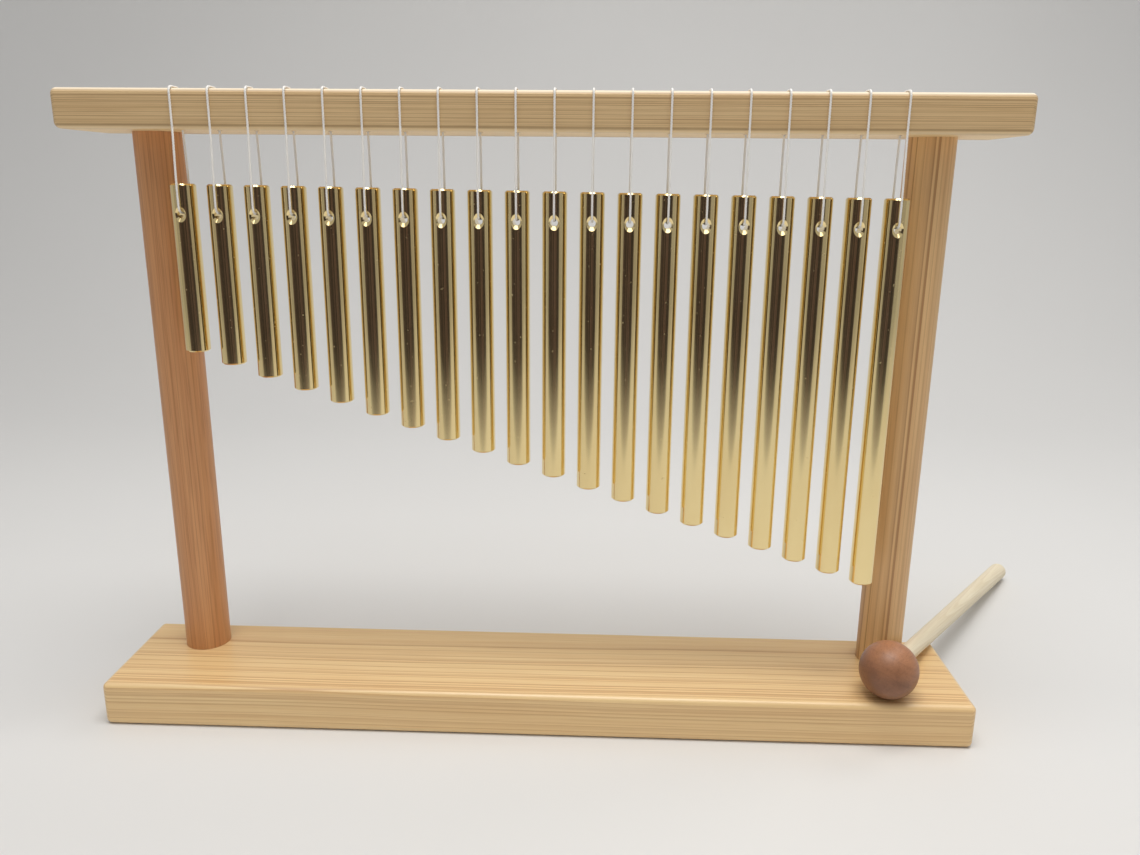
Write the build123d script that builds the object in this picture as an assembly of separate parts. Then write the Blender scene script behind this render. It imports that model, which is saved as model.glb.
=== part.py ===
from build123d import *
import os
from math import asin, atan, atan2, cos, hypot, pi, radians, sin, tan

# Table-top bar chimes: a row of gold bars of rising length, each hung on its own cord loop from a
# pine rail, which two dowel posts carry over a pine base board, with a ball mallet laid on the base.
# Millimetres. The origin is the centre of the base's underside, +X runs along the row towards the
# longest bar, +Y points away from the player and +Z is up.

# Chime bars
bar_count = 20
bar_pitch = 15.0
bar_diameter = 10.0
bar_shortest = 68.0
bar_length_step = 5.0
bar_end_chamfer = 0.6
bar_hole_diameter = 3.0
bar_hole_drop = 12.0
countersink_diameter = 6.1
countersink_angle = 118.0

# Cords, one loop for each bar
cord_diameter = 1.0
cord_clearance = 0.3
hang_first = 20.7
hang_step = 0.165
swing_angle = 20.0
hole_bend_radius = 1.5
rim_bend_radius = 1.2
bend_share = 0.45
wrap_gap = 0.15
knot_clearance = 0.15

# Base board
base_depth = 60.0
base_thickness = 20.0
base_overhang = 20.75
base_edge_radius = 2.5
under_bar_gap = 47.7

# Top rail, flush with the back of the base
rail_depth = 42.0
rail_thickness = 15.5
rail_overhang = 20.75
rail_edge_radius = 2.5
rail_hole_diameter = 2.5
rail_hole_inset = 8.6

# Posts, glued into blind sockets in the base and the rail
post_diameter = 20.0
post_side_gap = 2.75
post_back_margin = 7.2
post_end_chamfer = 0.8
base_socket_depth = 10.0
rail_socket_depth = 8.0
socket_clearance = 0.1
socket_end_gap = 0.3

# Wood screws, driven up through the base into the posts
screw_diameter = 4.5
screw_head_diameter = 8.6
screw_head_height = 3.0
screw_length = 30.0
screw_tip_length = 5.0
screw_recess = 0.4
screw_clearance = 0.1
screw_drive_width = 1.1
screw_drive_span = 4.6
screw_drive_depth = 1.8

# Mallet, its ball on the base beside the right post
ball_diameter = 25.0
ball_front_inset = 8.2
ball_post_offset = 6.05
handle_neck_diameter = 7.4
handle_tip_diameter = 9.6
handle_length = 216.0
handle_tip_radius = 3.4
handle_clearance = 0.1
handle_post_gap = 0.9
rest_gap = 0.2

# Places worked out from the sizes above
bar_radius = bar_diameter / 2
cord_radius = cord_diameter / 2
post_radius = post_diameter / 2
ball_radius = ball_diameter / 2
row_half = bar_pitch * (bar_count - 1) / 2
post_x = row_half + bar_radius + post_side_gap + post_radius
base_length = 2 * (post_x + post_radius + base_overhang)
rail_length = 2 * (post_x + post_radius + rail_overhang)
post_y = base_depth / 2 - post_back_margin - post_radius
rail_y = base_depth / 2 - rail_depth / 2
rail_front = rail_y - rail_depth / 2
bar_longest = bar_shortest + bar_length_step * (bar_count - 1)
hang_last = hang_first + hang_step * (bar_count - 1)
rail_z = base_thickness + under_bar_gap + bar_longest + hang_last
rail_top = rail_z + rail_thickness

# The cord lies on the rail's front face and comes back up through a hole behind it, and the bar
# hangs midway between the two strands.
front_strand_y = rail_front - wrap_gap - cord_radius
rail_hole_y = rail_front + rail_hole_inset
bar_y = (front_strand_y + rail_hole_y) / 2
strand_half_spread = (rail_hole_y - front_strand_y) / 2
strand_reach = bar_radius + cord_radius + cord_clearance
swing_reach = strand_half_spread + cord_radius
swing_gap = (swing_reach * sin(radians(swing_angle)) + cord_clearance) / cos(radians(swing_angle))


def bar_x(index):
    return -row_half + bar_pitch * index


def bar_length(index):
    return bar_shortest + bar_length_step * index


def bar_top(index):
    return rail_z - hang_first - hang_step * index


def rounded_board(length, depth, thickness, edge_radius):
    board = Box(length, depth, thickness, align=(Align.CENTER, Align.CENTER, Align.MIN))
    return fillet(board.edges(), edge_radius)


def upright(radius, height, x, y, z):
    cylinder = Cylinder(radius, height, align=(Align.CENTER, Align.CENTER, Align.MIN))
    return Pos(x, y, z) * cylinder


def post_places():
    return [(-post_x, post_y), (post_x, post_y)]


# Boards
def make_base():
    base = rounded_board(base_length, base_depth, base_thickness, base_edge_radius)
    socket_floor = base_thickness - base_socket_depth - socket_end_gap
    for x, y in post_places():
        base -= upright(post_radius + socket_clearance, base_thickness, x, y, socket_floor)
        base -= upright(screw_diameter / 2 + screw_clearance, base_thickness, x, y, 0)
        base -= upright(screw_head_diameter / 2 + screw_clearance, screw_recess, x, y, 0)
        sink = Cone(
            screw_head_diameter / 2 + screw_clearance,
            screw_diameter / 2 + screw_clearance,
            screw_head_height,
            align=(Align.CENTER, Align.CENTER, Align.MIN),
        )
        base -= Pos(x, y, screw_recess) * sink
    return base


def make_rail():
    rail = Pos(0, rail_y, rail_z) * rounded_board(rail_length, rail_depth, rail_thickness, rail_edge_radius)
    for x, y in post_places():
        rail -= upright(post_radius + socket_clearance, rail_socket_depth + socket_end_gap, x, y, rail_z)
    for index in range(bar_count):
        rail -= upright(rail_hole_diameter / 2, rail_thickness, bar_x(index), rail_hole_y, rail_z)
    return rail


# Posts and their screws
def make_post(x):
    foot = base_thickness - base_socket_depth
    height = rail_z + rail_socket_depth - foot
    post = upright(post_radius, height, x, post_y, foot)
    post = chamfer(post.edges().filter_by(GeomType.CIRCLE), post_end_chamfer)
    pilot_top = screw_recess + screw_length + screw_clearance
    return post - upright(screw_diameter / 2 + screw_clearance, pilot_top - foot, x, post_y, foot)


def make_screw(x, y):
    head = Cone(
        screw_head_diameter / 2,
        screw_diameter / 2,
        screw_head_height,
        align=(Align.CENTER, Align.CENTER, Align.MIN),
    )
    shank = upright(screw_diameter / 2, screw_length - screw_tip_length, 0, 0, 0)
    tip = Cone(screw_diameter / 2, 0, screw_tip_length, align=(Align.CENTER, Align.CENTER, Align.MIN))
    screw = head + shank + Pos(0, 0, screw_length - screw_tip_length) * tip
    blade = Box(
        screw_drive_span,
        screw_drive_width,
        screw_drive_depth,
        align=(Align.CENTER, Align.CENTER, Align.MIN),
    )
    screw -= blade + Rot(0, 0, 90) * blade
    return Pos(x, y, screw_recess) * screw


# Chime bars
def make_bar(index):
    length = bar_length(index)
    bar = upright(bar_radius, length, 0, 0, -length)
    bar = chamfer(bar.edges().filter_by(GeomType.CIRCLE), bar_end_chamfer)
    hole = Rot(90, 0, 0) * Cylinder(bar_hole_diameter / 2, 2 * bar_diameter)
    sink_depth = countersink_diameter / 2 / tan(radians(countersink_angle / 2))
    sink = Cone(0, countersink_diameter, 2 * sink_depth, align=(Align.CENTER, Align.CENTER, Align.MIN))
    apex = bar_radius - sink_depth
    cross = hole + Rot(90, 0, 0) * Pos(0, 0, apex) * sink + Rot(-90, 0, 0) * Pos(0, 0, apex) * sink
    bar -= Pos(0, 0, -bar_hole_drop) * cross
    return Pos(bar_x(index), bar_y, bar_top(index)) * bar


# Cords
def make_tube(points, bends):
    path = FilletPolyline(*points, radius=bends)
    start = Plane(origin=path @ 0, z_dir=path % 0)
    tube = sweep(start * Circle(cord_radius), path=path)
    return tube, path.length


def describe_tube(tube, length, bends):
    volume_ratio = tube.volume / (pi * cord_radius**2 * length)
    return f"{length:.1f} mm, volume ratio {volume_ratio:.4f}, radii {[round(bend, 2) for bend in bends]}"


def make_cord_loop(index):
    x = bar_x(index)
    top = rail_z - swing_gap
    shoulder = bar_top(index)
    hole_z = shoulder - bar_hole_drop + bar_hole_diameter / 2 - cord_radius - cord_clearance
    lean = strand_half_spread + (strand_reach - strand_half_spread) * swing_gap / (rail_z - shoulder)
    points = [
        (x, bar_y - lean, top),
        (x, bar_y - strand_reach, shoulder),
        (x, bar_y - strand_reach, hole_z),
        (x, bar_y + strand_reach, hole_z),
        (x, bar_y + strand_reach, shoulder),
        (x, bar_y + lean, top),
    ]
    shoulder_turn = atan((strand_reach - lean) / (top - shoulder))
    shoulder_bend = bend_share * min(top - shoulder, shoulder - hole_z) / tan(shoulder_turn / 2)
    bends = [shoulder_bend, hole_bend_radius, hole_bend_radius, shoulder_bend]
    return make_tube(points, bends), bends


def make_cord_wrap(index):
    x = bar_x(index)
    over = rail_top + wrap_gap + cord_radius
    points = [
        (x, rail_hole_y, rail_z),
        (x, rail_hole_y, over),
        (x, front_strand_y, over),
        (x, front_strand_y, rail_z),
    ]
    bends = [rim_bend_radius, rail_edge_radius + wrap_gap + cord_radius]
    return make_tube(points, bends), bends


# The knot that closes a cord is drawn into the rail's hole, out of sight
def make_knot(index):
    knot_radius = rail_hole_diameter / 2 - knot_clearance
    return Pos(bar_x(index), rail_hole_y, rail_z + rail_thickness / 2) * Sphere(knot_radius)


# Mallet, turned clear of the post and tipped until its handle meets the base's edge or the table
def handle_radius(distance):
    taper = (handle_tip_diameter - handle_neck_diameter) / 2 / (handle_length - ball_radius)
    return handle_neck_diameter / 2 + taper * (distance - ball_radius)


def mallet_pose():
    ball = Vector(post_x - ball_post_offset, -base_depth / 2 + ball_front_inset)
    ball.Z = base_thickness + rest_gap + ball_radius
    to_post_x = post_x - ball.X
    to_post_y = post_y - ball.Y
    post_distance = hypot(to_post_x, to_post_y)
    pass_distance = post_radius + handle_radius(post_distance) + handle_post_gap
    heading = atan2(to_post_y, to_post_x) - asin(pass_distance / post_distance)
    edge_run = min(
        (base_depth / 2 - ball.Y) / sin(heading),
        (base_length / 2 - ball.X) / cos(heading),
    )
    edge_drop = ball.Z - base_thickness
    edge_tilt = atan2(edge_drop, edge_run)
    edge_tilt -= asin((handle_radius(edge_run) + rest_gap) / hypot(edge_run, edge_drop))
    table_tilt = asin((ball.Z - handle_tip_diameter / 2 - rest_gap) / handle_length)
    tilt = min(edge_tilt, table_tilt)
    along = Vector(cos(tilt) * cos(heading), cos(tilt) * sin(heading), -sin(tilt))
    return Plane(origin=ball, z_dir=along)


def make_ball():
    bore = upright(handle_neck_diameter / 2 + handle_clearance, ball_diameter, 0, 0, 0)
    return mallet_pose() * (Sphere(ball_radius) - bore)


def make_handle():
    tenon = upright(handle_neck_diameter / 2, ball_radius - handle_clearance, 0, 0, handle_clearance)
    shaft = Cone(
        handle_neck_diameter / 2,
        handle_tip_diameter / 2,
        handle_length - ball_radius,
        align=(Align.CENTER, Align.CENTER, Align.MIN),
    )
    handle = tenon + Pos(0, 0, ball_radius) * shaft
    handle = fillet(handle.edges().sort_by(Axis.Z)[-1], handle_tip_radius)
    return mallet_pose() * handle


# All nodes
parts = {
    "base_board": make_base(),
    "top_rail": make_rail(),
    "left_post": make_post(-post_x),
    "right_post": make_post(post_x),
    "base_screws": Compound(children=[make_screw(x, y) for x, y in post_places()]),
    "mallet_ball": make_ball(),
    "mallet_handle": make_handle(),
}
wraps = []
for index in range(bar_count):
    number = f"{index + 1:02d}"
    (loop, loop_length), loop_bends = make_cord_loop(index)
    (wrap, wrap_length), wrap_bends = make_cord_wrap(index)
    wraps.append(wrap + make_knot(index))
    parts[f"chime_bar_{number}"] = make_bar(index)
    parts[f"cord_loop_{number}"] = loop
    print(f"cord {number} loop:", describe_tube(loop, loop_length, loop_bends))
    print(f"cord {number} wrap:", describe_tube(wrap, wrap_length, wrap_bends))
parts["cord_wraps"] = Compound(children=wraps)

os.makedirs("parts", exist_ok=True)
for name, solid in parts.items():
    export_step(solid, f"parts/{name}.step")

print(f"base {base_length:.1f} mm long, rail underside at {rail_z:.2f} mm, top at {rail_top:.2f} mm")
print(f"posts at x {post_x:.2f}, y {post_y:.2f}; bars at y {bar_y:.3f}, swing gap {swing_gap:.2f} mm")
print(f"longest bar {bar_longest:.1f} mm, mallet {mallet_pose()}")
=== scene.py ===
from math import cos, pi, radians, sin, tan

import bpy
import numpy as np
from mathutils import Matrix, Vector


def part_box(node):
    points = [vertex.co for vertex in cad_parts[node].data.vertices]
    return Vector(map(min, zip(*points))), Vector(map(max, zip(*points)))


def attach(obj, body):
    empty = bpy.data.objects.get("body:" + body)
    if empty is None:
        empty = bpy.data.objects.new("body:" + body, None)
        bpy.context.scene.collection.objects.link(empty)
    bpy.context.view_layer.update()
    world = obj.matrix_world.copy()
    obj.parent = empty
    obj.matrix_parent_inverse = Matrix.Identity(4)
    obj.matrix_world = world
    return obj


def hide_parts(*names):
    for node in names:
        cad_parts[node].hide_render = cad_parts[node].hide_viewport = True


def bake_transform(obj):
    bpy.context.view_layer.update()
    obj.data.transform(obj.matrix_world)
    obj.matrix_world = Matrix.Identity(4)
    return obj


# Table-top bar chimes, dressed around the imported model. Metres, in the model's own frame: the origin
# is the centre of the base's underside, +X runs towards the longest bar and +Z is up.

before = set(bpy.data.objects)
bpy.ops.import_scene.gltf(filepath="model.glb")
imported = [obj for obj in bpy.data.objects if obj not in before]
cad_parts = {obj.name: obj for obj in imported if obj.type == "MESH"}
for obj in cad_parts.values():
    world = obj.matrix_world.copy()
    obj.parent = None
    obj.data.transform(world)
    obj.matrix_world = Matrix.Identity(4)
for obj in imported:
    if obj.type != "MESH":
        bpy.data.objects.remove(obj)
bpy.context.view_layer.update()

# Sizes, as the part has them
BAR_COUNT = 20
BAR_CHAMFER = 0.0006
BAR_HOLE_DIAMETER = 0.003
BAR_HOLE_DROP = 0.012
COUNTERSINK_DIAMETER = 0.0061
COUNTERSINK_ANGLE = 118.0
CORD_DIAMETER = 0.001
CORD_CLEARANCE = 0.0003
WRAP_GAP = 0.00015
RAIL_HOLE_INSET = 0.0086
RAIL_HOLE_DIAMETER = 0.0025
KNOT_CLEARANCE = 0.00015
SWING_ANGLE = 20.0

# Places read from the frame
rail_low, rail_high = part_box("top_rail")
ball_low, ball_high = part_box("mallet_ball")
handle_low, handle_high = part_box("mallet_handle")
ball_centre = (ball_low + ball_high) / 2
bar_boxes = [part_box(f"chime_bar_{number:02d}") for number in range(1, BAR_COUNT + 1)]
bar_radius = (bar_boxes[0][1].x - bar_boxes[0][0].x) / 2
bar_y = (bar_boxes[0][0].y + bar_boxes[0][1].y) / 2
cord_radius = CORD_DIAMETER / 2
front_strand_y = rail_low.y - WRAP_GAP - cord_radius
rail_hole_y = rail_low.y + RAIL_HOLE_INSET
cord_over_z = rail_high.z + cord_radius
knot_z = (rail_low.z + rail_high.z) / 2


# Small helpers
def new_object(name, data):
    obj = bpy.data.objects.new(name, data)
    bpy.context.scene.collection.objects.link(obj)
    return obj


def mesh_from(name, points, faces):
    """A smooth-shaded mesh."""
    mesh = bpy.data.meshes.new(name)
    mesh.from_pydata([tuple(point) for point in points], [], faces)
    mesh.validate()
    mesh.polygons.foreach_set("use_smooth", [True] * len(mesh.polygons))
    mesh.update()
    return mesh


def ring_faces(rings, sides):
    """Quads between neighbouring rings of a tube, with both ends closed by one face."""
    faces = []
    for ring in range(rings - 1):
        for side in range(sides):
            after = (side + 1) % sides
            first, second = ring * sides, (ring + 1) * sides
            faces.append((first + side, first + after, second + after, second + side))
    faces.append(tuple(reversed(range(sides))))
    faces.append(tuple((rings - 1) * sides + side for side in range(sides)))
    return faces


def lathe(name, profile, sides):
    """A closed solid of revolution about Z; profile is a list of (radius, height), going down."""
    points = [
        (radius * cos(2 * pi * side / sides), radius * sin(2 * pi * side / sides), height)
        for radius, height in reversed(profile)
        for side in range(sides)
    ]
    return mesh_from(name, points, ring_faces(len(profile), sides))


class Nodes:
    """A material's node tree, with short calls that add nodes to it."""

    def __init__(self, name):
        self.material = bpy.data.materials.new(name)
        self.material.use_nodes = True
        self.tree = self.material.node_tree
        self.shader = self.tree.nodes["Principled BSDF"]
        self.output = self.tree.nodes["Material Output"]

    def put(self, socket, value):
        if isinstance(value, bpy.types.NodeSocket):
            self.tree.links.new(value, socket)
        else:
            socket.default_value = value

    def add(self, kind, inputs, **settings):
        node = self.tree.nodes.new("ShaderNode" + kind)
        for key, value in settings.items():
            setattr(node, key, value)
        for socket, value in inputs.items():
            self.put(node.inputs[socket], value)
        return node

    def shade(self, **inputs):
        """Set the shader's inputs, named with underscores for spaces."""
        for name, value in inputs.items():
            self.put(self.shader.inputs[name.replace("_", " ")], value)

    def math(self, operation, *values):
        return self.add("Math", dict(enumerate(values)), operation=operation).outputs[0]

    def vector(self, operation, *values):
        return self.add("VectorMath", dict(enumerate(values)), operation=operation).outputs["Vector"]

    def measure(self, operation, *values):
        """A number that comes from vectors, such as a length."""
        return self.add("VectorMath", dict(enumerate(values)), operation=operation).outputs["Value"]

    def place(self, location=(0.0, 0.0, 0.0), rotation=(0.0, 0.0, 0.0)):
        """Coordinates in metres from a point of the model's frame, along axes turned by rotation."""
        coordinates = self.add("TexCoord", {}).outputs["Object"]
        inputs = {"Vector": coordinates, "Location": location, "Rotation": rotation}
        return self.add("Mapping", inputs, vector_type="TEXTURE").outputs[0]

    def facing(self):
        """Which way the surface faces: 1 on top, 0 where it is upright, -1 underneath."""
        normal = self.add("TexCoord", {}).outputs["Normal"]
        return self.add("SeparateXYZ", {"Vector": normal}).outputs["Z"]

    def noise(self, spot, cells, detail, roughness):
        """Noise from 0 to 1; cells gives its cells per metre along each axis."""
        inputs = {
            "Vector": self.vector("MULTIPLY", spot, cells),
            "Scale": 1.0,
            "Detail": detail,
            "Roughness": roughness,
        }
        return self.add("TexNoise", inputs).outputs["Fac"]

    def ramp(self, value, *stops):
        """A grey level that runs from stop to stop, each a (position, level)."""
        node = self.add("ValToRGB", {"Fac": value})
        elements = node.color_ramp.elements
        while len(elements) < len(stops):
            elements.new(1.0)
        for element, (position, level) in zip(elements, stops):
            element.position = position
            element.color = (level, level, level, 1.0)
        return node.outputs["Color"]

    def mix(self, factor, first, second):
        """The first colour where factor is 0 and the second where it is 1."""
        node = self.tree.nodes.new("ShaderNodeMix")
        node.data_type = "RGBA"
        for socket, value in ((0, factor), (6, first), (7, second)):
            self.put(node.inputs[socket], value)
        return node.outputs[2]

    def bump(self, height, distance, strength):
        inputs = {"Height": height, "Distance": distance, "Strength": strength}
        return self.add("Bump", inputs).outputs["Normal"]


def shade_of(red, green, blue):
    """A colour as seen on a screen, 0 to 255, in the linear values that a shader takes."""
    levels = [level / 255 for level in (red, green, blue)]
    linear = [x / 12.92 if x <= 0.04045 else ((x + 0.055) / 1.055) ** 2.4 for x in levels]
    return (*linear, 1.0)


# Wood. Cells are per metre along the grain and across it both ways, and late growth goes through a year.
STRAY_CELLS = (3.0, 18.0, 18.0)
NOISE_MIDDLE = (0.5, 0.5, 0.5)
UNEVEN_SCALE = 0.9
UNEVEN_YEARS = 1.6
LATE_GROWTH = ((0.0, 0.4), (0.05, 0.0), (0.62, 0.03), (0.84, 0.5), (0.95, 1.0))
LINE_CELLS = (26.0, 1000.0, 1000.0)
LINE_STOPS = ((0.5, 0.0), (0.66, 1.0))
FIBRE_CELLS = (22.0, 2600.0, 2600.0)
FIBRE_STOPS = ((0.42, 0.0), (0.75, 1.0))
PATCH_CELLS = (7.0, 260.0, 260.0)
PATCH_STOPS = ((0.3, 0.0), (0.72, 1.0))
FIBRE_TONE = 0.2
FIBRE_SHEEN = 0.18
LINE_RELIEF = 0.5
GRAIN_HEIGHT = 0.00012
GRAIN_STRENGTH = 0.35
# Painted light and shade: how much deeper the tone is away from a lit side, and how much of the random
# patches stays
SHADED_SIDE_DEPTH = 0.6
PATCH_SHARE_WITH_SHADE = 0.45
# How fast downward faces take the paler tone painted for bounce light
UNDER_SPREAD = 2.0
# Painted highlight on rounded edges, mostly the upper ones where light from above catches them
EDGE_NARROWNESS = 4.0
EDGE_SHARE = 2.4
EDGE_UPPER_SHARE = 1.5
EDGE_HIGHLIGHT = shade_of(255, 247, 228)


def year_rings(nodes, spot, heart, ring, wander, even):
    """How much late growth a spot has, 0 to 1, in rings about a heart that runs along X."""
    inputs = {"Vector": nodes.vector("MULTIPLY", spot, STRAY_CELLS), "Scale": 1.0, "Detail": 2.0}
    stray = nodes.add("TexNoise", inputs).outputs["Color"]
    stray = nodes.vector("SUBTRACT", stray, NOISE_MIDDLE)
    stray = nodes.vector("MULTIPLY", stray, (0.0, wander, wander))
    across = nodes.vector("MULTIPLY", spot, (0.0, 1.0, 1.0))
    across = nodes.vector("SUBTRACT", nodes.vector("ADD", across, stray), (0.0, *heart))
    years = nodes.math("DIVIDE", nodes.measure("LENGTH", across), ring)
    inputs = {"W": years, "Scale": UNEVEN_SCALE, "Detail": 1.0}
    uneven = nodes.add("TexNoise", inputs, noise_dimensions="1D").outputs["Fac"]
    years = nodes.math("ADD", years, nodes.math("MULTIPLY", uneven, UNEVEN_YEARS))
    late = nodes.ramp(nodes.math("FRACT", years), *LATE_GROWTH)
    year = {"W": nodes.math("FLOOR", years)}
    weight = nodes.add("TexWhiteNoise", year, noise_dimensions="1D").outputs["Value"]
    weight = nodes.math("MULTIPLY_ADD", weight, 1.0 - even, even)
    return nodes.math("MULTIPLY", late, weight)


def painted_edge_highlight(nodes, tone, edge):
    """The tone with a painted highlight on its rounded edges, strongest along the upper edges that face
    the lamps.
    """
    facing = nodes.facing()
    steep = nodes.math("SQRT", nodes.math("SUBTRACT", 1.0, nodes.math("MULTIPLY", facing, facing)))
    level = nodes.math("POWER", nodes.math("ABSOLUTE", facing), EDGE_NARROWNESS)
    rounded = nodes.math("MULTIPLY", level, steep)
    share = nodes.math("MULTIPLY_ADD", facing, EDGE_UPPER_SHARE * edge, EDGE_SHARE * edge)
    return nodes.mix(nodes.math("MULTIPLY", rounded, share), tone, EDGE_HIGHLIGHT)


def wood(
    name, pale, streak, dark, heart, ring, wander, contrast, vein, rough,
    even=0.3, edge=0.0, side=1.0, bounce_light_tone=None, patch=PATCH_CELLS, lit_side=None,
    location=(0.0, 0.0, 0.0), rotation=(0.0, 0.0, 0.0),
):
    """Solid wood whose grain runs along X, from a location and turned by a rotation.

    pale, streak and dark are the tones of its paler and deeper parts and of its late growth, and rough
    is its roughness. heart is where the tree's centre passes, across the grain, ring a year's growth,
    wander how far the rings stray and even how strong the weakest ring is. contrast and vein are how
    dark the late growth and the fine lines are, edge how strong a painted highlight on its rounded edges
    is, side how strong the rings are on upright faces, under a paler tone painted on downward faces as
    bounce light, patch the cells of its paler and deeper parts, and sapwood the way towards its lit
    side, along which painted shade turns into painted light.
    """
    nodes = Nodes(name)
    spot = nodes.place(location, rotation)
    late = year_rings(nodes, spot, heart, ring, wander, even)
    lines = nodes.ramp(nodes.noise(spot, LINE_CELLS, detail=2.0, roughness=0.55), *LINE_STOPS)
    fibre = nodes.noise(spot, FIBRE_CELLS, detail=3.0, roughness=0.6)
    strands = nodes.ramp(fibre, *FIBRE_STOPS)
    deep = nodes.ramp(nodes.noise(spot, patch, detail=2.0, roughness=0.5), *PATCH_STOPS)
    # Painted light and shade: the tone turns paler towards the lit side and deeper away from it
    if lit_side:
        turn = nodes.math("DIVIDE", nodes.measure("DOT_PRODUCT", spot, lit_side), lit_side.length_squared)
        painted_shade = nodes.ramp(turn, (0.0, SHADED_SIDE_DEPTH), (1.0, 0.0))
        deep = nodes.math("ADD", nodes.math("MULTIPLY", deep, PATCH_SHARE_WITH_SHADE), painted_shade)
    tone = nodes.mix(deep, pale, streak)
    # Painted bounce light: faces that turn downwards take a paler tone
    if bounce_light_tone:
        bounce_mask = nodes.math("MAXIMUM", nodes.math("MULTIPLY", nodes.facing(), -UNDER_SPREAD), 0.0)
        tone = nodes.mix(bounce_mask, tone, bounce_light_tone)
    if side < 1.0:
        level = nodes.math("ABSOLUTE", nodes.facing())
        late = nodes.math("MULTIPLY", late, nodes.math("MULTIPLY_ADD", level, 1.0 - side, side))
    for layer, strength in ((late, contrast), (lines, vein), (strands, FIBRE_TONE)):
        tone = nodes.mix(nodes.math("MULTIPLY", layer, strength), tone, dark)
    # Painted highlight along the rounded edges
    if edge:
        tone = painted_edge_highlight(nodes, tone, edge)
    sheen = nodes.math("MULTIPLY_ADD", fibre, FIBRE_SHEEN, rough - FIBRE_SHEEN / 2)
    relief = nodes.math("SUBTRACT", fibre, nodes.math("MULTIPLY", lines, LINE_RELIEF))
    relief = nodes.bump(relief, GRAIN_HEIGHT, GRAIN_STRENGTH)
    nodes.shade(Base_Color=tone, Roughness=sheen, Normal=relief)
    return nodes


# Metal and cord
GOLD_DEEP = (0.86, 0.68, 0.345, 1.0)
GOLD_PALE = (0.9, 0.735, 0.39, 1.0)
DRAWN_CELLS = (2400.0, 2400.0, 9.0)
SMEAR_CELLS = (60.0, 60.0, 25.0)
SMEAR_STOPS = ((0.35, 0.0), (0.7, 1.0))
DUST_CELLS = (900.0, 900.0, 700.0)
DUST_STOPS = ((0.76, 0.0), (0.8, 1.0))
GOLD_ROUGH = 0.085
SMEAR_ROUGH = 0.05
DUST_ROUGH = 0.25
DRAWN_HEIGHT = 0.000004
COTTON_CELLS = (5200.0, 5200.0, 1600.0)
COTTON_STOPS = ((0.3, 0.0), (0.7, 1.0))
SOIL_CELLS = (90.0, 400.0, 120.0)
SOIL_TONE = 0.08
COTTON_HEIGHT = 0.00008
SPANGLE_CELLS = (700.0, 700.0, 700.0)
SPANGLE_HEIGHT = 0.00003
ZINC_DEEP = (0.46, 0.46, 0.45, 1.0)
ZINC_PALE = (0.68, 0.68, 0.66, 1.0)
ZINC_ROUGH = 0.22
SPANGLE_ROUGH = 0.2


def polished_gold():
    """Gold-coloured rod: drawn lengthwise, polished, with faint smears and specks of dust."""
    nodes = Nodes("polished_gold")
    spot = nodes.place()
    drawn = nodes.noise(spot, DRAWN_CELLS, detail=2.0, roughness=0.6)
    smear = nodes.noise(spot, SMEAR_CELLS, detail=3.0, roughness=0.55)
    dust = nodes.ramp(nodes.noise(spot, DUST_CELLS, detail=1.0, roughness=0.3), *DUST_STOPS)
    tone = nodes.mix(nodes.ramp(smear, *SMEAR_STOPS), GOLD_DEEP, GOLD_PALE)
    rough = nodes.math("MULTIPLY_ADD", smear, SMEAR_ROUGH, GOLD_ROUGH)
    rough = nodes.math("ADD", rough, nodes.math("MULTIPLY", dust, DUST_ROUGH))
    relief = nodes.bump(drawn, DRAWN_HEIGHT, strength=0.5)
    nodes.shade(Base_Color=tone, Metallic=1.0, Roughness=rough, Normal=relief)
    return nodes


def cotton_cord():
    """White cotton, a little soiled in places."""
    nodes = Nodes("cotton_cord")
    spot = nodes.place()
    fibre = nodes.noise(spot, COTTON_CELLS, detail=3.0, roughness=0.6)
    soil = nodes.noise(spot, SOIL_CELLS, detail=2.0, roughness=0.5)
    strands = nodes.ramp(fibre, *COTTON_STOPS)
    tone = nodes.mix(strands, shade_of(246, 244, 239), shade_of(255, 254, 252))
    tone = nodes.mix(nodes.math("MULTIPLY", soil, SOIL_TONE), tone, shade_of(214, 206, 190))
    nodes.shade(
        Base_Color=tone, Roughness=0.45, Specular_IOR_Level=0.7, Sheen_Weight=0.6, Sheen_Roughness=0.4,
        Normal=nodes.bump(fibre, COTTON_HEIGHT, strength=0.6),
    )
    return nodes


def zinc_steel():
    """Zinc plating with its spangle."""
    nodes = Nodes("zinc_steel")
    spangle = nodes.noise(nodes.place(), SPANGLE_CELLS, detail=3.0, roughness=0.6)
    tone = nodes.mix(spangle, ZINC_DEEP, ZINC_PALE)
    rough = nodes.math("MULTIPLY_ADD", spangle, SPANGLE_ROUGH, ZINC_ROUGH)
    relief = nodes.bump(spangle, SPANGLE_HEIGHT, strength=0.4)
    nodes.shade(Base_Color=tone, Metallic=1.0, Roughness=rough, Normal=relief)
    return nodes


# Finishes of the pieces
ALONG_Z = (0.0, radians(-90.0), 0.0)
# The way the ball is lit from, up and a little to the right, towards which its tone is painted paler
BALL_LIT_SIDE = Vector((0.004, 0.0, 0.009))

handle_far = Vector((handle_high.x, handle_high.y, handle_low.z)) - ball_centre
handle_turn = handle_far.to_track_quat("X", "Z").to_euler()

# The base's edge is a faint painted highlight on its rounded edges
base_wood = wood(
    "base_pine", shade_of(245, 213, 157), shade_of(238, 201, 144), shade_of(178, 116, 62),
    heart=(0.03, -0.045), ring=0.0017, wander=0.004, contrast=1.0, vein=0.1, rough=0.36,
    even=0.45, edge=0.07, side=0.62,
)
base_wood.shade(Coat_Weight=0.3, Coat_Roughness=0.26)
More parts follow.
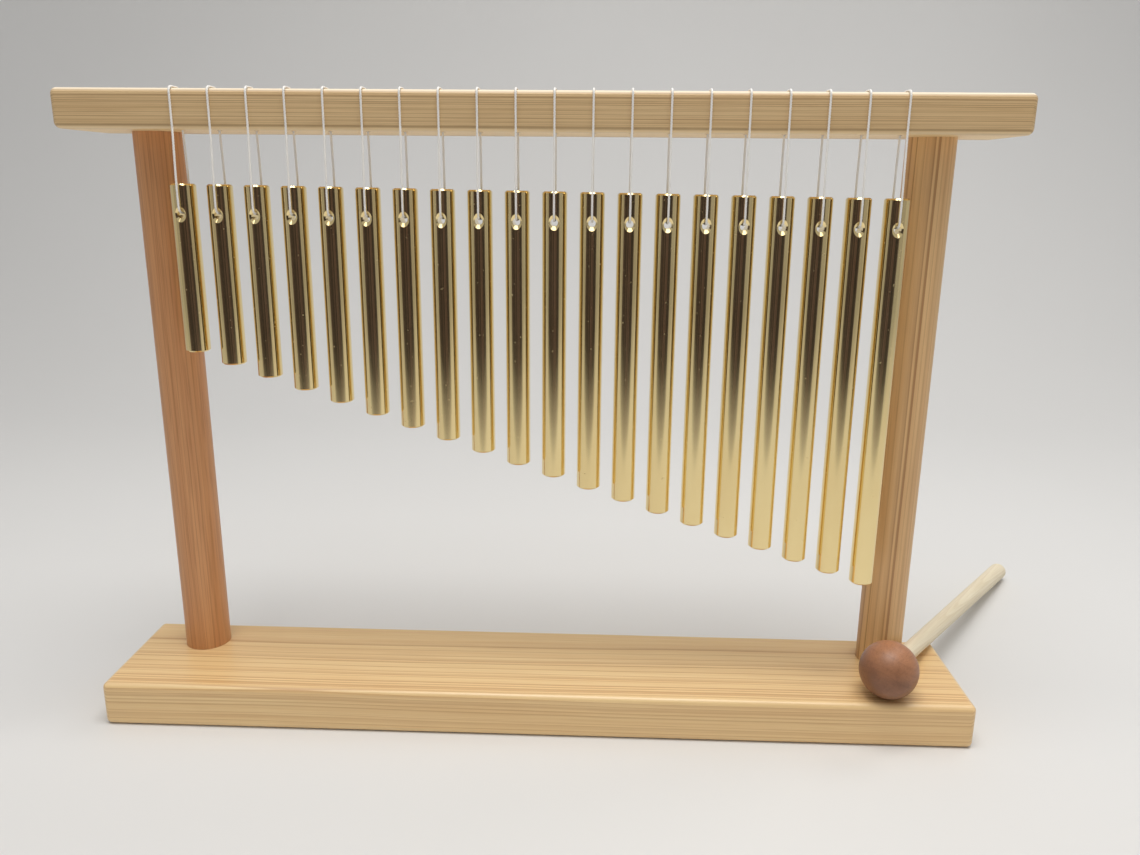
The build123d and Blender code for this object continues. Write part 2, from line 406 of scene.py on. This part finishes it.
# The rail's underside tone is painted bounce light, and its edge a painted highlight along its top edges
rail_wood = wood(
    "rail_pine", shade_of(228, 198, 151), shade_of(219, 186, 138), shade_of(142, 101, 60),
    heart=(0.03, 0.33), ring=0.00105, wander=0.0015, contrast=0.7, vein=0.12, rough=0.4,
    even=0.55, edge=0.66, bounce_light_tone=shade_of(254, 224, 168),
)
rail_wood.shade(Specular_IOR_Level=0.35)
left_wood = wood(
    "left_post_wood", shade_of(218, 161, 110), shade_of(208, 148, 98), shade_of(150, 94, 54),
    heart=(-0.05, -0.19), ring=0.0013, wander=0.002, contrast=0.5, vein=0.3, rough=0.44,
    rotation=ALONG_Z,
)
right_wood = wood(
    "right_post_wood", shade_of(236, 197, 143), shade_of(227, 183, 129), shade_of(160, 110, 66),
    heart=(-0.02, 0.12), ring=0.0026, wander=0.003, contrast=0.72, vein=0.12, rough=0.42,
    rotation=ALONG_Z,
)
# The ball's pale and streak tones are partly random patches and partly painted light and shade: pale on
# its lit upper side, deep below
ball_wood = wood(
    "mallet_ball_wood", shade_of(182, 127, 91), shade_of(130, 87, 61), shade_of(92, 58, 40),
    heart=(0.004, -0.02), ring=0.0022, wander=0.01, contrast=0.16, vein=0.16, rough=0.42,
    patch=(70.0, 130.0, 130.0), lit_side=handle_turn.to_matrix().inverted() @ BALL_LIT_SIDE,
    location=ball_centre, rotation=handle_turn,
)
handle_wood = wood(
    "mallet_handle_wood", shade_of(243, 232, 206), shade_of(236, 222, 192), shade_of(198, 174, 134),
    heart=(0.02, -0.04), ring=0.0016, wander=0.002, contrast=0.3, vein=0.16, rough=0.55,
    location=ball_centre, rotation=handle_turn,
)
gold = polished_gold()
cotton = cotton_cord()
steel = zinc_steel()

for node, finish in (
    ("base_board", base_wood),
    ("top_rail", rail_wood),
    ("left_post", left_wood),
    ("right_post", right_wood),
    ("mallet_ball", ball_wood),
    ("mallet_handle", handle_wood),
    ("base_screws", steel),
):
    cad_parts[node].material_slots[0].material = finish.material


# Chime bars
BAR_SIDES = 128
HOLE_SIDES = 64
CUTTER_REACH = 1.3
SHARP_ANGLE = 25.0
MOST_TILT = 0.01
LEAST_OUTWARD = 0.99


def bar_blank(length):
    """A bar hanging below the origin, with its cross hole cut and its faces still unsmoothed."""
    profile = [
        (bar_radius - BAR_CHAMFER, 0.0),
        (bar_radius, -BAR_CHAMFER),
        (bar_radius, -length + BAR_CHAMFER),
        (bar_radius - BAR_CHAMFER, -length),
    ]
    bar = new_object("bar_blank", lathe("bar_blank", profile, BAR_SIDES))
    slope = tan(radians(COUNTERSINK_ANGLE / 2))
    apex = bar_radius - COUNTERSINK_DIAMETER / 2 / slope
    hole_radius = BAR_HOLE_DIAMETER / 2
    mouth = CUTTER_REACH * bar_radius
    half = [((mouth - apex) * slope, mouth), (hole_radius, apex + hole_radius / slope)]
    profile = half + [(radius, -height) for radius, height in reversed(half)]
    cutter = new_object("bar_cutter", lathe("bar_cutter", profile, HOLE_SIDES))
    cutter.matrix_world = Matrix.Translation((0, 0, -BAR_HOLE_DROP)) @ Matrix.Rotation(pi / 2, 4, "X")
    cut = bar.modifiers.new("cut", "BOOLEAN")
    cut.operation = "DIFFERENCE"
    cut.solver = "EXACT"
    cut.object = cutter
    evaluated = bar.evaluated_get(bpy.context.evaluated_depsgraph_get())
    mesh = bpy.data.meshes.new_from_object(evaluated)
    bpy.data.objects.remove(bar)
    bpy.data.objects.remove(cutter)
    return mesh


def smooth_bar(mesh):
    """Exact round normals on the bar's side, and sharp edges between its side, ends and hole."""
    mesh.polygons.foreach_set("use_smooth", [True] * len(mesh.polygons))
    mesh.set_sharp_from_angle(angle=radians(SHARP_ANGLE))
    normals = [Vector(corner.vector) for corner in mesh.corner_normals]
    for face in mesh.polygons:
        out = Vector((face.center.x, face.center.y, 0.0)).normalized()
        if abs(face.normal.z) < MOST_TILT and face.normal.dot(out) > LEAST_OUTWARD:
            for corner in face.loop_indices:
                spot = mesh.vertices[mesh.loops[corner].vertex_index].co
                normals[corner] = Vector((spot.x, spot.y, 0.0)).normalized()
    mesh.normals_split_custom_set(normals)


shortest = bar_boxes[0][1].z - bar_boxes[0][0].z
blank = bar_blank(shortest)
for index, (low, high) in enumerate(bar_boxes):
    number = f"{index + 1:02d}"
    mesh = blank.copy()
    mesh.name = f"gold_bar_{number}"
    extra = (high.z - low.z) - shortest
    for vertex in mesh.vertices:
        if vertex.co.z < -shortest / 2:
            vertex.co.z -= extra
    smooth_bar(mesh)
    mesh.transform(Matrix.Translation(((low.x + high.x) / 2, bar_y, high.z)))
    mesh.materials.clear()
    mesh.materials.append(gold.material)
    bar = new_object(f"gold_bar_{number}", mesh)
    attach(bar, f"bar_{number}")
    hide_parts(f"chime_bar_{number}")


# Cords, each one loop from its knot in the rail's hole, through the bar, over the rail and back
STRAND_COUNT = 3
STRAND_VALLEY = 0.66
STRAND_CROWN = 0.3
TWIST_PITCH = 0.0032
CORD_SIDES = 12
RING_STEP = 0.0003
LINE_STEPS = 40
KNOT_STEPS = 120
KNOT_DEPTH = 1.1
KNOT_TURN = 37.0


def cord_route(x, shoulder):
    """The cord's control points at one bar, whose top is at shoulder."""
    half_spread = (rail_hole_y - front_strand_y) / 2
    reach = bar_radius + cord_radius + CORD_CLEARANCE
    swing = radians(SWING_ANGLE)
    gap = ((half_spread + cord_radius) * sin(swing) + CORD_CLEARANCE) / cos(swing)
    top = rail_low.z - gap
    lean = half_spread + (reach - half_spread) * gap / (rail_low.z - shoulder)
    hole_z = shoulder - BAR_HOLE_DROP + BAR_HOLE_DIAMETER / 2 - cord_radius - CORD_CLEARANCE
    leg_z = (shoulder + hole_z) / 2
    over_y = (rail_hole_y + front_strand_y) / 2
    edge = rail_hole_y - over_y
    places = [
        (rail_hole_y, knot_z),
        (rail_hole_y, rail_low.z),
        (bar_y + lean, top),
        (bar_y + reach, shoulder),
        (bar_y + reach, leg_z),
        (bar_y + reach, hole_z),
        (bar_y, hole_z),
        (bar_y - reach, hole_z),
        (bar_y - reach, leg_z),
        (bar_y - reach, shoulder),
        (bar_y - lean, top),
        (front_strand_y, rail_low.z),
        (front_strand_y, cord_over_z - edge),
        (front_strand_y, cord_over_z),
        (over_y, cord_over_z),
        (rail_hole_y, cord_over_z),
        (rail_hole_y, cord_over_z - edge),
        (rail_hole_y, knot_z),
    ]
    return [(x, y, z) for y, z in places]


def spline_points(name, route):
    """Points along the smooth NURBS line that has the route as its control points."""
    curve = bpy.data.curves.new(name, "CURVE")
    curve.dimensions = "3D"
    curve.resolution_u = LINE_STEPS
    spline = curve.splines.new("NURBS")
    spline.points.add(len(route) - 1)
    for point, place in zip(spline.points, route):
        point.co = (*place, 1.0)
    spline.order_u = 3
    spline.use_endpoint_u = True
    carrier = new_object(name, curve)
    mesh = bpy.data.meshes.new_from_object(carrier)
    points = np.array([vertex.co for vertex in mesh.vertices])
    bpy.data.objects.remove(carrier)
    bpy.data.meshes.remove(mesh)
    return points


def even_steps(points, step):
    """The same line with its points a step apart, and how far along it each point is."""
    runs = np.linalg.norm(np.diff(points, axis=0), axis=1)
    along = np.concatenate([[0.0], np.cumsum(runs)])
    marks = np.linspace(0.0, along[-1], max(2, round(along[-1] / step)))
    return np.column_stack([np.interp(marks, along, points[:, axis]) for axis in range(3)]), marks


def strand_radius(angle):
    """How far the twisted strands reach from the cord's centre, at an angle from one strand."""
    fold = (angle + pi / STRAND_COUNT) % (2 * pi / STRAND_COUNT) - pi / STRAND_COUNT
    return cord_radius * (STRAND_VALLEY + STRAND_CROWN * np.cos(fold * STRAND_COUNT / 2) ** 2)


def twisted_tube(name, points, side):
    """A tube of twisted strands along points, with its line and length; side is a direction that the
    line never takes."""
    line, along = even_steps(points, RING_STEP)
    tangents = np.gradient(line, axis=0)
    tangents /= np.linalg.norm(tangents, axis=1)[:, None]
    first = np.cross(tangents, side)
    first /= np.linalg.norm(first, axis=1)[:, None]
    second = np.cross(tangents, first)
    angles = 2 * pi * np.arange(CORD_SIDES) / CORD_SIDES
    rings = []
    for ring in range(len(line)):
        radii = strand_radius(angles - 2 * pi * along[ring] / TWIST_PITCH)
        spokes = np.cos(angles)[:, None] * first[ring] + np.sin(angles)[:, None] * second[ring]
        rings.append(line[ring] + radii[:, None] * spokes)
    mesh = mesh_from(name, np.concatenate(rings), ring_faces(len(line), CORD_SIDES))
    mesh.materials.append(cotton.material)
    return mesh, line, along[-1]


def knot_mesh(name):
    """An overhand knot, drawn so tight that it fits the rail's hole."""
    turn = np.linspace(0.0, 2 * pi, KNOT_STEPS)
    loop = cord_radius * np.column_stack([
        np.sin(turn) + 2 * np.sin(2 * turn),
        np.cos(turn) - 2 * np.cos(2 * turn),
        -KNOT_DEPTH * np.sin(3 * turn),
    ])
    mesh = twisted_tube(name, loop, np.array([0.0, 0.0, 1.0]))[0]
    knot_radius = max(vertex.co.length for vertex in mesh.vertices)
    mesh.transform(Matrix.Scale((RAIL_HOLE_DIAMETER / 2 - KNOT_CLEARANCE) / knot_radius, 4))
    return mesh


knot_shape = knot_mesh("cord_knot")
for index, (low, high) in enumerate(bar_boxes):
    number = f"{index + 1:02d}"
    x = (low.x + high.x) / 2
    route = cord_route(x, high.z)
    points = spline_points(f"cord_line_{number}", route)
    mesh, line, length = twisted_tube(f"cord_{number}", points, np.array([1.0, 0.0, 0.0]))
    cord = new_object(f"cord_{number}", mesh)
    knot = new_object(f"cord_knot_{number}", knot_shape)
    knot.location = route[0]
    knot.rotation_euler = (0.0, 0.0, radians(KNOT_TURN * index))
    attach(knot, "stand")
    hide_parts("cord_wraps")
    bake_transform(cord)
    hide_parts(f"cord_loop_{number}", "cord_wraps")


# Camera, where the photograph was taken from; its angles are in degrees
IMAGE_WIDTH = 1140
FOCAL_PIXELS = 922.3
SENSOR_WIDTH = 36.0
CLIP_START = 0.01
CAMERA_PLACE = (0.02719, -0.38625, 0.23575)
CAMERA_YAW = 1.934
CAMERA_PITCH = -14.892
CAMERA_ROLL = -0.526

camera = new_object("camera", bpy.data.cameras.new("camera"))
camera.data.sensor_width = SENSOR_WIDTH
camera.data.lens = FOCAL_PIXELS / IMAGE_WIDTH * SENSOR_WIDTH
camera.data.clip_start = CLIP_START
camera.matrix_world = (
    Matrix.Translation(CAMERA_PLACE)
    @ Matrix.Rotation(radians(CAMERA_YAW), 4, "Z")
    @ Matrix.Rotation(radians(CAMERA_PITCH), 4, "X")
    @ Matrix.Rotation(radians(CAMERA_ROLL), 4, "Y")
    @ Matrix.Rotation(radians(90.0), 4, "X")
)
bpy.context.scene.camera = camera


# Stage: a pale sweep of floor and wall, and a dark card in front that only reflections see
SWEEP_HALF_WIDTH = 4.0
SWEEP_FRONT = -4.0
SWEEP_BEND = 0.5
SWEEP_RADIUS = 0.6
SWEEP_TOP = 2.6
SWEEP_STEPS = 32
MOTTLE_CELLS = (3.0, 3.0, 3.0)
SWEEP_DEEP = (0.73, 0.726, 0.718, 1.0)
SWEEP_PALE = (0.76, 0.757, 0.752, 1.0)
CARD_Y = -0.42
CARD_HALF_WIDTH = 1.6
CARD_HEIGHT = 0.55
CARD_RISE = 0.2
CARD_COVER = ((0.0, 0.2), (0.135, 0.55), (0.375, 0.96), (0.5, 1.0))
DARK_LEFT = -0.55
DARK_RIGHT = 0.42
DARK_SOFT_EDGE = 0.1
DIM_COVER = 0.25
STRIPE_CELLS = (24.0, 1.0, 1.5)
STRIPE_STOPS = ((0.48, 0.0), (0.68, 1.0))
CARD_DARK = (0.03, 0.027, 0.031, 1.0)
CARD_STRIPE = (0.15, 0.1, 0.11, 1.0)
ROOM_COLOUR = (1.0, 0.99, 0.975, 1.0)
ROOM_HORIZON = 0.16
ROOM_ZENITH = 0.62
BACKDROP_LEVEL = 0.45
BACKDROP_NEAR = 1.3
BACKDROP_FAR = 2.8

# Each lamp's name, place, aim, width and depth, watts and colour
LAMPS = (
    ("top_softbox", (0.08, -0.15, 1.2), (0.05, 0.0, 0.1), (0.8, 0.5), 8.6, (1.0, 0.985, 0.96)),
    ("front_lamp", (0.02, -0.62, 1.28), (0.0, 0.0, 0.2), (0.9, 0.2), 1.1, (1.0, 0.98, 0.95)),
    ("right_softbox", (0.75, 0.45, 0.95), (0.05, 0.0, 0.05), (0.35, 0.35), 1.2, (1.0, 0.98, 0.95)),
)


def seen_directly(tree):
    """1 for rays from the camera and for reflections, 0 for rays that light the scene."""
    path = tree.nodes.new("ShaderNodeLightPath")
    either = tree.nodes.new("ShaderNodeMath")
    either.operation = "MAXIMUM"
    tree.links.new(path.outputs["Is Camera Ray"], either.inputs[0])
    tree.links.new(path.outputs["Is Glossy Ray"], either.inputs[1])
    return either.outputs[0]


def make_sweep():
    """The floor and the wall behind, which fade into the room's even tone far away."""
    outline = [(SWEEP_FRONT, 0.0), (SWEEP_BEND, 0.0)]
    for step in range(1, SWEEP_STEPS + 1):
        angle = pi / 2 * step / SWEEP_STEPS
        outline.append((SWEEP_BEND + SWEEP_RADIUS * sin(angle), SWEEP_RADIUS * (1 - cos(angle))))
    outline.append((SWEEP_BEND + SWEEP_RADIUS, SWEEP_TOP))
    points = [(side * SWEEP_HALF_WIDTH, y, z) for y, z in outline for side in (-1, 1)]
    faces = [(2 * i, 2 * i + 1, 2 * i + 3, 2 * i + 2) for i in range(len(outline) - 1)]
    sweep = new_object("sweep", mesh_from("sweep", points, faces))
    nodes = Nodes("pale_sweep")
    spot = nodes.place()
    mottle = nodes.noise(spot, MOTTLE_CELLS, detail=2.0, roughness=0.5)
    nodes.shade(Base_Color=nodes.mix(mottle, SWEEP_DEEP, SWEEP_PALE), Roughness=0.8)
    distance = nodes.measure("LENGTH", spot)
    inputs = {"Value": distance, "From Min": BACKDROP_NEAR, "From Max": BACKDROP_FAR}
    far = nodes.add("MapRange", inputs).outputs["Result"]
    fade = nodes.math("MULTIPLY", far, seen_directly(nodes.tree))
    glow = nodes.add("Emission", {"Color": ROOM_COLOUR, "Strength": BACKDROP_LEVEL}).outputs[0]
    surface = nodes.add("MixShader", {0: fade, 1: nodes.shader.outputs[0], 2: glow}).outputs[0]
    nodes.put(nodes.output.inputs["Surface"], surface)
    sweep.data.materials.append(nodes.material)


def make_card():
    """A card that the bars reflect: dark in the middle and high up, thin at its sides and its foot."""
    points = [
        (-CARD_HALF_WIDTH, CARD_Y, 0.0),
        (CARD_HALF_WIDTH, CARD_Y, 0.0),
        (CARD_HALF_WIDTH, CARD_Y, CARD_HEIGHT),
        (-CARD_HALF_WIDTH, CARD_Y, CARD_HEIGHT),
    ]
    card = new_object("dark_card", mesh_from("dark_card", points, [(0, 1, 2, 3)]))
    nodes = Nodes("dark_card")
    spot = nodes.place()
    across, _, height = nodes.add("SeparateXYZ", {"Vector": spot}).outputs
    cover = nodes.ramp(nodes.math("DIVIDE", height, CARD_RISE), *CARD_COVER)
    from_left = nodes.math("SUBTRACT", across, DARK_LEFT)
    from_right = nodes.math("SUBTRACT", DARK_RIGHT, across)
    inset = nodes.math("DIVIDE", nodes.math("MINIMUM", from_left, from_right), DARK_SOFT_EDGE)
    inset = nodes.math("ADD", inset, 0.5)
    cover = nodes.math("MULTIPLY", cover, nodes.ramp(inset, (0.0, DIM_COVER), (1.0, 1.0)))
    stripe = nodes.ramp(nodes.noise(spot, STRIPE_CELLS, detail=2.0, roughness=0.5), *STRIPE_STOPS)
    nodes.shade(Base_Color=nodes.mix(stripe, CARD_DARK, CARD_STRIPE), Roughness=0.9, Alpha=cover)
    card.data.materials.append(nodes.material)
    card.visible_camera = False
    card.visible_shadow = False
    card.visible_diffuse = False


def make_lamp(name, place, aim, size, watts, colour):
    lamp = bpy.data.lights.new(name, "AREA")
    lamp.shape = "RECTANGLE"
    lamp.size, lamp.size_y = size
    lamp.energy = watts
    lamp.color = colour
    light = new_object(name, lamp)
    light.location = place
    light.rotation_euler = (Vector(aim) - Vector(place)).to_track_quat("-Z", "Y").to_euler()


def make_world():
    """A pale room, brighter overhead than at eye level, which is seen as one even tone."""
    world = bpy.data.worlds.new("soft_room")
    bpy.context.scene.world = world
    world.use_nodes = True
    tree = world.node_tree
    backdrop = tree.nodes["Background"]
    backdrop.inputs["Color"].default_value = ROOM_COLOUR
    direction = tree.nodes.new("ShaderNodeTexCoord").outputs["Generated"]
    split = tree.nodes.new("ShaderNodeSeparateXYZ")
    tree.links.new(direction, split.inputs[0])
    rise = tree.nodes.new("ShaderNodeMapRange")
    rise.inputs["To Min"].default_value = ROOM_HORIZON
    rise.inputs["To Max"].default_value = ROOM_ZENITH
    tree.links.new(split.outputs["Z"], rise.inputs["Value"])
    level = tree.nodes.new("ShaderNodeMix")
    level.inputs["B"].default_value = BACKDROP_LEVEL
    tree.links.new(seen_directly(tree), level.inputs["Factor"])
    tree.links.new(rise.outputs["Result"], level.inputs["A"])
    tree.links.new(level.outputs["Result"], backdrop.inputs["Strength"])


make_sweep()
make_card()
for lamp in LAMPS:
    make_lamp(*lamp)
make_world()
bpy.context.scene.view_settings.view_transform = "Standard"
